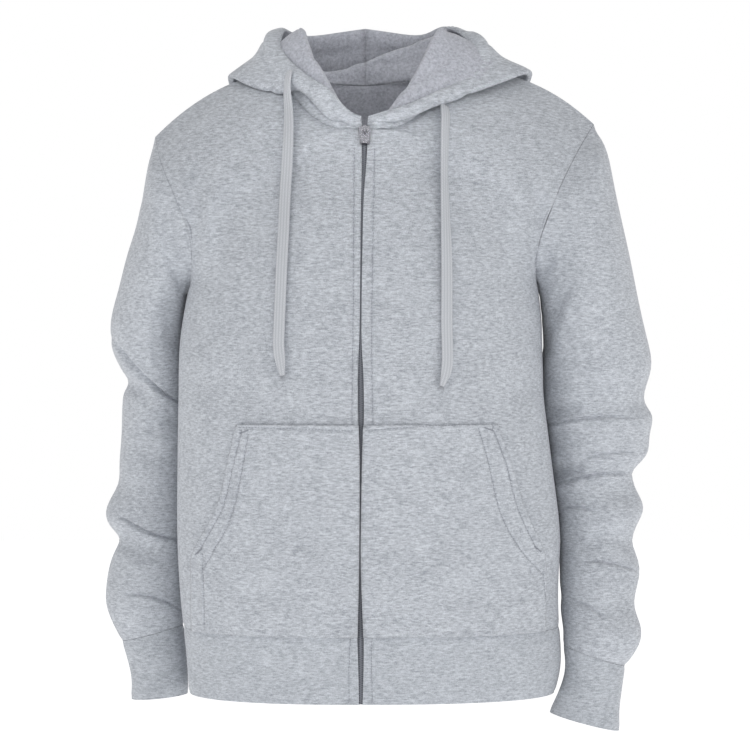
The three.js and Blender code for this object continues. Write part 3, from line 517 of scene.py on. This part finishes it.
class Cloth:
    """A cloth piece's points, the outward way at each, and how far each is from the piece's rim."""

    def __init__(self, node, name, wall, face_out, seams=(), folds=(), sink=seam_sink):
        self.made = cloth_mesh(node, name, wall_thickness[wall], face_out)
        self.sink = sink
        finer_outside(self.made)
        self.grooves = []
        lines = [self.laid_line(rows) for rows in seams]
        creases = [self.laid_line([row[:2], row[2:4]]) for row in folds]
        if creases:
            near = point_tree([point for line in creases for point in line])
            for reach in fold_reaches:
                finer_outside(self.made, near, reach)
        if lines:
            near = point_tree([point for line in lines for point in line])
            for reach in ditch_reaches:
                finer_outside(self.made, near, reach)
        self.read_mesh()
        for line in lines:
            self.groove(line)

    def laid_line(self, rows):
        """Points along a line of photo places, on the face of the cloth that the camera sees."""
        tree = surface_tree(self.made.data)
        fine, stops = smooth_route([(x, 0, z, 0) for x, z in rows], 1.0)
        hits = [tree.ray_cast(*from_view(x, z))[0] for x, _, z, _ in fine]
        return [hit for hit in hits if hit is not None]

    def groove(self, line, width=1.3, depth=1.1):
        """A stitched ditch along laid points, with a soft swell on each side."""
        tree = point_tree(line)
        away = np.array([tree.find(point)[2] for point in self.places]) / (width * MM)
        away[~self.outer] = 99
        shift = depth * MM * (np.exp(-away ** 2) - 0.45 * np.exp(-((away - 2.4) / 1.3) ** 2))
        self.places -= self.outward * shift[:, None]
        self.grooves.append(line)

    def read_mesh(self):
        mesh = self.made.data
        count = len(mesh.vertices)
        places, normals = np.empty(count * 3), np.empty(count * 3)
        mesh.vertices.foreach_get("co", places)
        mesh.vertices.foreach_get("normal", normals)
        self.places, normals = places.reshape(-1, 3), normals.reshape(-1, 3)
        sides = np.empty(len(mesh.polygons), int)
        mesh.attributes["wall_side"].data.foreach_get("value", sides)
        totals, starts = np.empty(len(sides), int), np.empty(len(sides), int)
        mesh.polygons.foreach_get("loop_total", totals)
        mesh.polygons.foreach_get("loop_start", starts)
        corners = np.empty(len(mesh.loops), int)
        mesh.loops.foreach_get("vertex_index", corners)
        corner_side = np.repeat(sides, totals)
        self.outer, self.inner, self.rim = (np.zeros(count, bool) for _ in range(3))
        for flags, value in ((self.outer, 0), (self.inner, 1), (self.rim, 2)):
            flags[corners[corner_side == value]] = True
        self.outward = np.where((self.inner & ~self.outer)[:, None], -normals, normals)
        tree = point_tree(self.places[self.rim])
        self.from_rim = np.array([tree.find(point)[2] for point in self.places])
        self.sides = sides
        dip = self.sink * np.exp(-(self.from_rim / seam_reach) ** 2)
        self.places[self.outer] -= self.outward[self.outer] * dip[self.outer, None]

    def channel(self, free, width, swell):
        """A rolled tube along the free edge, whose points are given, stitched down at its width."""
        tree = point_tree(free)
        away = np.array([tree.find(point)[2] for point in self.places]) / (width * MM)
        rise = np.sqrt(np.clip(1 - (2 * away - 1) ** 2, 0, 1)) - 0.5 * np.exp(-((away - 1) / 0.12) ** 2)
        way = np.where((self.inner & ~self.outer)[:, None], -self.outward, self.outward)
        way[self.rim] = 0
        self.places += way * (swell * MM * rise)[:, None]

    def press(self, rows, front=True):
        """Soft troughs (depth over 0) and ridges (under 0) along bowed lines, as seen from front or back.

        Each row is x0, z0, x1, z1, bow, width, depth in millimetres."""
        shift = np.zeros(len(self.places))
        for row in rows:
            across, fade = self.beside(row, front)
            trough = np.exp(-across ** 2)
            lips = np.exp(-(np.abs(across) - 2) ** 2)
            shift += row[6] * MM * fade * (trough - 0.35 * lips)
        self.places -= self.outward * shift[:, None]

    def tuck(self, rows, front=True):
        """Sharp folds: a narrow gap along the line, with the cloth below it proud. Rows as for press."""
        shift = np.zeros(len(self.places))
        for row in rows:
            across, fade = self.beside(row, front)
            step = np.tanh(across / 0.3) * np.exp(-(across / 2) ** 2)
            gap = np.exp(-(across * row[5] / 1.7) ** 2)
            shift += row[6] * MM * fade * (0.4 * step + gap)
        self.places -= self.outward * shift[:, None]

    def beside(self, row, front):
        """How many widths each point lies above a row's line, and how strongly the row acts there."""
        seen = self.places[:, [0, 2]]
        if front:
            eye = np.array(view_place)
            scale = eye[1] / (eye[1] - self.places[:, 1])
            seen = eye[[0, 2]] + (seen - eye[[0, 2]]) * scale[:, None]
        x0, z0, x1, z1, bow, width, _ = np.array(row) * MM
        along = np.array((x1 - x0, z1 - z0))
        length = np.hypot(*along)
        unit = along / length
        offset = seen - (x0, z0)
        t = offset @ unit / length
        across = (offset @ (-unit[1], unit[0]) - bow * 4 * t * (1 - t)) / width
        fade = np.clip(np.minimum(t + 0.12, 1.12 - t) / 0.35, 0, 1)
        facing = np.clip(0.5 + (-1.3 if front else 1.3) * self.outward[:, 1], 0, 1)
        return across, fade * fade * (3 - 2 * fade) * facing

    def finish(self, material, replaced):
        mesh = self.made.data
        mesh.vertices.foreach_set("co", self.places.ravel())
        lining = mesh.attributes.new("lining", "FLOAT", "FACE")
        lining.data.foreach_set("value", np.where(self.sides == 1, 1.0, 0.0))
        from_seam = mesh.attributes.new("from_seam", "FLOAT", "POINT")
        from_seam.data.foreach_set("value", 1 - np.exp(-self.from_rim / 0.008))
        mesh.attributes.remove(mesh.attributes["wall_side"])
        mesh.polygons.foreach_set("use_smooth", [True] * len(mesh.polygons))
        mesh.materials.append(material)
        mesh.update()
        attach(self.made, "garment")
        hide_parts(replaced)


def row_group(name, shape, sizes):
    """Geometry Nodes that set one small body after another along a line, square to its facing attribute."""
    group = bpy.data.node_groups.new(name, "GeometryNodeTree")
    face = group.interface
    face.new_socket("Geometry", in_out="INPUT", socket_type="NodeSocketGeometry")
    for label, value in (("Pitch", 0.003), *sizes):
        face.new_socket(label, in_out="INPUT", socket_type="NodeSocketFloat").default_value = value
    face.new_socket("Material", in_out="INPUT", socket_type="NodeSocketMaterial")
    face.new_socket("Geometry", in_out="OUTPUT", socket_type="NodeSocketGeometry")
    nodes, links = group.nodes, group.links
    given, out = nodes.new("NodeGroupInput"), nodes.new("NodeGroupOutput")
    curve = nodes.new("GeometryNodeMeshToCurve")
    links.new(given.outputs["Geometry"], curve.inputs[0])
    spaced = nodes.new("GeometryNodeResampleCurve")
    spaced.mode = "LENGTH"
    links.new(curve.outputs[0], spaced.inputs["Curve"])
    links.new(given.outputs["Pitch"], spaced.inputs["Length"])
    body = nodes.new(shape)
    if shape == "GeometryNodeMeshIcoSphere":
        body.inputs["Subdivisions"].default_value = 2
        body.inputs["Radius"].default_value = 0.5
    extent = nodes.new("ShaderNodeCombineXYZ")
    for socket, (label, _) in zip(extent.inputs, sizes):
        links.new(given.outputs[label], socket)
    facing = nodes.new("GeometryNodeInputNamedAttribute")
    facing.data_type = "FLOAT_VECTOR"
    facing.inputs["Name"].default_value = "facing"
    tangent = nodes.new("GeometryNodeInputTangent")
    axes = nodes.new("FunctionNodeAxesToRotation")
    axes.primary_axis, axes.secondary_axis = "Z", "X"
    links.new(facing.outputs["Attribute"], axes.inputs["Primary Axis"])
    links.new(tangent.outputs[0], axes.inputs["Secondary Axis"])
    placed = nodes.new("GeometryNodeInstanceOnPoints")
    links.new(spaced.outputs[0], placed.inputs["Points"])
    links.new(body.outputs["Mesh"], placed.inputs["Instance"])
    links.new(axes.outputs[0], placed.inputs["Rotation"])
    links.new(extent.outputs[0], placed.inputs["Scale"])
    real = nodes.new("GeometryNodeRealizeInstances")
    links.new(placed.outputs[0], real.inputs[0])
    dressed = nodes.new("GeometryNodeSetMaterial")
    links.new(real.outputs[0], dressed.inputs["Geometry"])
    links.new(given.outputs["Material"], dressed.inputs["Material"])
    links.new(dressed.outputs[0], out.inputs[0])
    return group


def row_object(name, group, lines, facings, material, **sizes):
    """The bodies of a row group along some lines, as one plain mesh."""
    points, edges, ways = [], [], []
    for line, facing in zip(lines, facings):
        base = len(points)
        points += [tuple(point) for point in line]
        ways += [tuple(way) for way in facing]
        edges += [(base + i, base + i + 1) for i in range(len(line) - 1)]
    mesh = bpy.data.meshes.new(name)
    mesh.from_pydata(points, edges, [])
    attribute = mesh.attributes.new("facing", "FLOAT_VECTOR", "POINT")
    attribute.data.foreach_set("vector", np.array(ways).ravel())
    made = bpy.data.objects.new(name, mesh)
    scene.collection.objects.link(made)
    rows = made.modifiers.new("rows", "NODES")
    rows.node_group = group
    named = {item.name: item.identifier for item in group.interface.items_tree if item.in_out == "INPUT"}
    for label, value in {"Material": material, **sizes}.items():
        rows[named[label.replace("_", " ")]] = value
    real = bpy.data.meshes.new_from_object(made.evaluated_get(bpy.context.evaluated_depsgraph_get()))
    made.modifiers.clear()
    made.data = real
    real.name = name
    real.polygons.foreach_set("use_smooth", [True] * len(real.polygons))
    return made


# Sewing thread: grey, in straight lockstitches that sit in their ditches. Its grey is partly the thread's
# colour and partly painted shade of the stitch ditches.
stitch_length = 2.5
stitch_pitch = 3.4
stitch_width = 0.75
stitch_height = 0.5
shade_darkened_thread, nodes, links, principled = shader("sewing_thread_shade_darkened", 0.7, sheen=0.1)
principled.inputs["Base Color"].default_value = (0.27, 0.285, 0.32, 1)
stitch_rows = row_group("stitch_row", "GeometryNodeMeshIcoSphere",
                        (("Length", 0.0025), ("Width", 0.0008), ("Height", 0.0005)))


def sewn(cloth, name):
    """Stitches along a cloth's grooves."""
    tree = surface_tree(cloth.made.data)
    lines, facings = [], []
    for groove in cloth.grooves:
        hits = [tree.find_nearest(point) for point in groove]
        lines.append([place + way * 0.1 * MM for place, way, _, _ in hits])
        facings.append([way for _, way, _, _ in hits])
    made = row_object(name, stitch_rows, lines, facings, shade_darkened_thread, Pitch=stitch_pitch * MM,
                      Length=stitch_length * MM, Width=stitch_width * MM, Height=stitch_height * MM)
    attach(made, "garment")


# Fronts: one fleece panel each side of the zip, cut with its neckline and armhole, sewn at the shoulder, the
# side and the armhole. The folded zip edge is stitched down.
front_rows = {
    "right": [[(-12, -76), (-13, -242), (-14.3, -407), (-16, -600)]],
    "left": [[(11, -76), (8.8, -165), (7.4, -289), (8.8, -407), (7.7, -600)]],
}
# Folds, seen in the plane of the photo: x0, z0, x1, z1, bow, width, depth. A negative depth is a ridge.
front_folds = {
    "right": [
        (-187, -94, -193, -172, 5, 9, 4), (-173, -120, -176, -200, 4, 10, -3),
        (-150, -250, -60, -330, -10, 26, 2.2), (-140, -70, -60, -120, 8, 22, 1.8),
        (-190, -330, -120, -352, 6, 18, 2.0), (-60, -170, -44, -300, 6, 20, 1.6),
    ],
    "left": [
        (191, -125, 190, -160, 4, 9, 4), (176, -110, 172, -200, -4, 11, -3),
        (150, -262, 70, -330, 10, 26, 2.2), (60, -75, 140, -110, -8, 22, 1.8),
        (196, -340, 120, -362, -6, 18, 2.0), (40, -190, 60, -320, -6, 20, 1.6),
    ],
}
for side in ("right", "left"):
    panel = Cloth("front_" + side, "front_panel_" + side, "fleece", (0, -1, 0), front_rows[side])
    panel.press(front_folds[side])
    panel.finish(fleece, "front_" + side)
    sewn(panel, "zip_topstitch_" + side)


# Back: one fleece panel from the neck to the hem band.
back_folds = [
    (-185, -110, -150, -215, -6, 14, 4), (182, -105, 150, -210, 6, 14, 4),
    (-120, -250, 60, -290, 14, 26, 2.6), (140, -330, -30, -370, -12, 26, 2.6),
    (-170, -430, -40, -455, 8, 22, 2.4), (60, -470, 180, -500, 8, 22, 2.4),
    (-160, -560, -60, -575, -5, 16, 2.2), (30, -548, 160, -572, 6, 18, 2.4),
]
back = Cloth("back", "back_panel", "fleece", (0, 1, 0))
back.press(back_folds, front=False)
back.finish(fleece, "back")


# Sleeves: one fleece piece each, set into the armhole and closed under the arm. The tucks are the sharp
# folds that the bent arm makes, and the folds are the soft ones between.
sleeve_tucks = {
    "right": [
        (-279, -284, -201, -356, -8, 9, 5.5), (-272, -478, -201, -506, -6, 7, 4.5),
        (-262, -566, -206, -580, 4, 7, 3),
    ],
    "left": [
        (197, -381, 292, -371, 4, 8, 3.5), (208, -446, 290, -433, 4, 7, 4),
        (218, -471, 250, -474, 2, 6, 3), (242, -529, 300, -540, 3, 8, 3),
        (226, -574, 262, -592, 4, 7, 3), (236, -418, 300, -410, 3, 8, 2.5),
    ],
}
sleeve_folds = {
    "right": [
        (-240, -388, -204, -372, 3, 10, 4), (-277, -330, -240, -345, 3, 7, 3),
        (-255, -395, -205, -420, -6, 14, 3), (-226, -130, -212, -190, 4, 12, 3),
        (-268, -500, -230, -516, -4, 9, 3), (-215, -230, -205, -300, -4, 12, 3),
    ],
    "left": [
        (200, -364, 238, -361, 0, 8, 5), (206, -432, 240, -429, 0, 8, 6),
        (262, -455, 296, -458, 3, 9, 3), (222, -500, 262, -510, -4, 9, 3.5),
        (204, -190, 194, -213, 3, 6, 5), (227, -224, 205, -267, -4, 8, 5),
        (205, -267, 198, -302, -3, 7, 4), (250, -500, 292, -508, 3, 8, 3),
        (232, -330, 282, -345, -6, 14, 3),
    ],
}
rear_folds = {
    "right": [
        (-268, -300, -205, -350, 8, 8, 6), (-268, -480, -205, -500, 6, 7, 5),
        (-262, -390, -205, -410, 5, 10, 4), (-262, -560, -205, -575, 5, 7, 5),
    ],
    "left": [
        (205, -350, 300, -366, -6, 8, 6), (212, -440, 296, -432, -5, 7, 6),
        (214, -508, 292, -512, 5, 8, 5), (216, -566, 290, -575, 4, 8, 5),
        (205, -250, 240, -230, 4, 10, 4),
    ],
}
for side, edge in (("right", -1), ("left", 1)):
    sleeve = Cloth("sleeve_" + side, "sleeve_cloth_" + side, "fleece", (edge, 0, 0), folds=sleeve_tucks[side])
    sleeve.press(sleeve_folds[side])
    sleeve.press(rear_folds[side], front=False)
    sleeve.tuck(sleeve_tucks[side])
    sleeve.finish(fleece, "sleeve_" + side)


# Cuffs and hem band: rib knit, folded double and sewn to the fleece.
for side, edge in (("right", -1), ("left", 1)):
    cuff = Cloth("cuff_" + side, "cuff_rib_" + side, "rib", (edge, 0, 0))
    cuff.finish(rib_knit, "cuff_" + side)
hem_rows = [[(-16, -612), (-17.5, -640), (-17.8, -684)], [(7.7, -612), (7, -640), (8, -684)]]
hem = Cloth("hem_band", "hem_rib", "rib", (0, -1, 0), hem_rows)
hem.finish(rib_knit, "hem_band")
sewn(hem, "hem_topstitch")


# Hood: two fleece halves with a seam over the crown. It lies folded down on the shoulders. Its edge is
# turned in and stitched as a channel for the drawcord.
channel_width = 21
channel_swell = 2.6
neck_tree = point_tree([vert.co for node in ("front_right", "front_left", "back")
                        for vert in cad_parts[node].data.vertices])
for side, edge in (("right", -1), ("left", 1)):
    hood = Cloth("hood_" + side, "hood_cloth_" + side, "fleece", (0, 1, 0))
    free = [point for point in hood.places[hood.rim]
            if abs(point[0]) > 1 * MM and neck_tree.find(point)[2] > 5 * MM]
    hood.channel(free, channel_width, channel_swell)
    closed = np.abs(hood.places[:, 0]) < 0.6 * MM
    hood.places[closed, 0] = 0
    hood.finish(fleece, "hood_" + side)


# Kangaroo pocket: a fleece panel on each front, open on its slanted edge.
pocket_rows = {
    "right": [
        [(-137, -382), (-14.5, -386)],
        [(-136, -386), (-144.7, -421), (-156.8, -470), (-175.5, -505), (-184, -520)],
        [(-129, -390), (-136.4, -434), (-148.5, -483), (-167, -518), (-178, -538)],
        [(-179, -522), (-177, -597)],
    ],
    "left": [
        [(1, -386), (66, -381), (140, -379)],
        [(139.7, -380), (155, -421), (169.4, -474), (188.7, -515)],
        [(125.4, -384), (135.3, -418), (149.6, -477), (171, -516), (195, -543)],
        [(196, -541), (201, -594)],
    ],
}
pocket_folds = {
    "right": [
        (-120, -470, -40, -520, -8, 20, 1.6), (-150, -560, -60, -585, 5, 14, 1.6),
    ],
    "left": [
        (40, -520, 130, -470, -8, 20, 1.6), (60, -585, 170, -560, 5, 14, 1.6),
    ],
}
for side in ("right", "left"):
    pocket = Cloth("pocket_" + side, "pocket_panel_" + side, "pocket", (0, -1, 0), pocket_rows[side],
                   sink=-0.7 * MM)
    pocket.press(pocket_folds[side])
    pocket.finish(fleece, "pocket_" + side)
    sewn(pocket, "pocket_topstitch_" + side)


# Bar tacks: dense stitching across the ends of the pocket openings.
tack_length = 9.0
tack_places = {
    "right": [(-133, -387, 20), (-183, -519, 40)],
    "left": [(136, -384, -20), (190, -516, -40)],
}
for side, places in tack_places.items():
    tree = surface_tree(bpy.data.objects["pocket_panel_" + side].data)
    lines, facings = [], []
    for x, z, slant in places:
        along = Vector((math.cos(math.radians(slant)), 0, math.sin(math.radians(slant))))
        for shift in (-0.5, 0, 0.5):
            hits = []
            for share in (-0.5, -0.25, 0, 0.25, 0.5):
                hit = tree.ray_cast(*from_view(x + along.x * share * tack_length - along.z * shift,
                                               z + along.z * share * tack_length + along.x * shift))
                if hit[0] is not None:
                    hits.append(hit)
            if len(hits) > 1:
                lines.append([place + way * 0.25 * MM for place, way, _, _ in hits])
                facings.append([way for _, way, _, _ in hits])
    tacks = row_object("bar_tacks_" + side, stitch_rows, lines, facings, shade_darkened_thread, Pitch=0.9 * MM,
                       Length=1.5 * MM, Width=0.7 * MM, Height=0.7 * MM)
    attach(tacks, "garment")


# Zip: woven tape on each side, small moulded teeth between, and a polished slider with its oval pull.
tape_material, nodes, links, principled = shader("zip_tape_weave", 0.85, sheen=0.1)
principled.inputs["Base Color"].default_value = (0.10, 0.107, 0.125, 1)
place = nodes.new("ShaderNodeTexCoord")
weave = nodes.new("ShaderNodeTexWave")
weave.bands_direction = "Z"
weave.inputs["Scale"].default_value = 500
weave.inputs["Distortion"].default_value = 0.6
links.new(place.outputs["Object"], weave.inputs["Vector"])
raise_by(nodes, links, principled, weave.outputs["Fac"], 0.4, 0.3 * MM)
metal_material, nodes, links, principled = shader("zip_metal", 0.25, metallic=1.0)
# The metal's colour is painted light: a painted reflection where the slider and pull face the camera, and
# painted shade darkening them towards their grazing edges.
grazing = nodes.new("ShaderNodeLayerWeight")
grazing.inputs["Blend"].default_value = 0.6
painted_glint_and_rim_shade = colour_between(nodes, links, grazing.outputs["Facing"], (0.45, 0.45, 0.49, 1),
                        (0.03, 0.03, 0.045, 1))
links.new(painted_glint_and_rim_shade, principled.inputs["Base Color"])
for node, material in (("zip_right", tape_material), ("zip_left", tape_material),
                       ("zip_slider", metal_material), ("pull_tab", metal_material)):
    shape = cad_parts[node].data
    shape.materials.clear()
    shape.materials.append(material)
teeth_pitch = 2.4
teeth_lift = 0.35
tooth_shift = 0.7
ring_reach = 20
top_margin = 12
teeth_material, nodes, links, principled = shader("zip_teeth", 0.4)
principled.inputs["Base Color"].default_value = (0.17, 0.18, 0.21, 1)
tooth_rows = row_group("tooth_row", "GeometryNodeMeshCube",
                       (("Length", 0.0011), ("Width", 0.003), ("Height", 0.001)))
for side, flip in (("right", -1), ("left", 1)):
    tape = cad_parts["zip_" + side].data
    tree = surface_tree(tape)
    low, high = min(v.co.z for v in tape.vertices), max(v.co.z for v in tape.vertices)
    line, ways = [], []
    for height in np.arange(low + 1 * MM, high - top_margin * MM, 2 * MM):
        ring = [v.co for v in tape.vertices if abs(v.co.z - height) < ring_reach * MM]
        middle = min(ring, key=lambda point: flip * point.x).x
        hit = tree.ray_cast(Vector((middle + flip * 1.5 * MM, -0.3, height)), Vector((0, 1, 0)))
        if hit[0] is not None:
            line.append(hit[0] + Vector((-flip * tooth_shift * MM, -teeth_lift * MM, 0)))
            ways.append(Vector((0, -1, 0)))
    if flip > 0:
        line = [point + Vector((0, 0, teeth_pitch / 2 * MM)) for point in line]
    teeth = row_object("zip_teeth_" + side, tooth_rows, [line], [ways], teeth_material,
                       Pitch=teeth_pitch * MM, Length=1.1 * MM, Width=3.0 * MM, Height=1.0 * MM)
    teeth.data.polygons.foreach_set("use_smooth", [False] * len(teeth.data.polygons))
    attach(teeth, "garment")


# Studio: a pale floor and soft light from the front.
floor_height = -0.80
floor_half = 4
floor_corners = [(x * floor_half, y * floor_half, floor_height)
                 for x, y in ((-1, -1), (1, -1), (1, 1), (-1, 1))]
floor = mesh_object("studio_floor", floor_corners, [(0, 1, 2, 3)], smooth=False)
floor_material, nodes, links, principled = shader("studio_floor", 0.9)
principled.inputs["Base Color"].default_value = (0.93, 0.93, 0.93, 1)
principled.inputs["Emission Color"].default_value = (1, 1, 1, 1)
principled.inputs["Emission Strength"].default_value = 0.55
floor.data.materials.append(floor_material)
world = bpy.data.worlds.new("studio_world")
scene.world = world
world.use_nodes = True
nodes, links = world.node_tree.nodes, world.node_tree.links
ambient = nodes["Background"]
ambient.inputs["Color"].default_value = (1, 1, 1, 1)
ambient.inputs["Strength"].default_value = 0.60
seen = nodes.new("ShaderNodeBackground")
seen.inputs["Color"].default_value = (1, 1, 1, 1)
seen.inputs["Strength"].default_value = 1.0
ray = nodes.new("ShaderNodeLightPath")
choose = nodes.new("ShaderNodeMixShader")
links.new(ray.outputs["Is Camera Ray"], choose.inputs["Fac"])
links.new(ambient.outputs[0], choose.inputs[1])
links.new(seen.outputs[0], choose.inputs[2])
links.new(choose.outputs[0], nodes["World Output"].inputs["Surface"])


def add_light(data, place, aim):
    lamp = bpy.data.objects.new(data.name, data)
    lamp.location = place
    lamp.rotation_euler = (Vector(aim) - Vector(place)).to_track_quat("-Z", "Y").to_euler()
    scene.collection.objects.link(lamp)


def soft_light(name, place, aim, size, power):
    data = bpy.data.lights.new(name, "AREA")
    data.size = size
    data.energy = power
    add_light(data, place, aim)


soft_light("low_softbox", (0.1, -2.5, -1.2), (0, 0, -0.4), 1.4, 22)
soft_light("left_softbox", (-1.9, -1.9, 0.1), (0, 0, -0.3), 1.2, 6)
soft_light("right_softbox", (1.9, -1.9, 0.1), (0, 0, -0.3), 1.2, 8)
neck_data = bpy.data.lights.new("neck_fill", "SPOT")
neck_data.energy = 20
neck_data.spot_size = math.radians(16)
neck_data.spot_blend = 1.0
neck_data.shadow_soft_size = 0.12
add_light(neck_data, (0, -1.25, 0.35), (0, 0.05, 0.01))
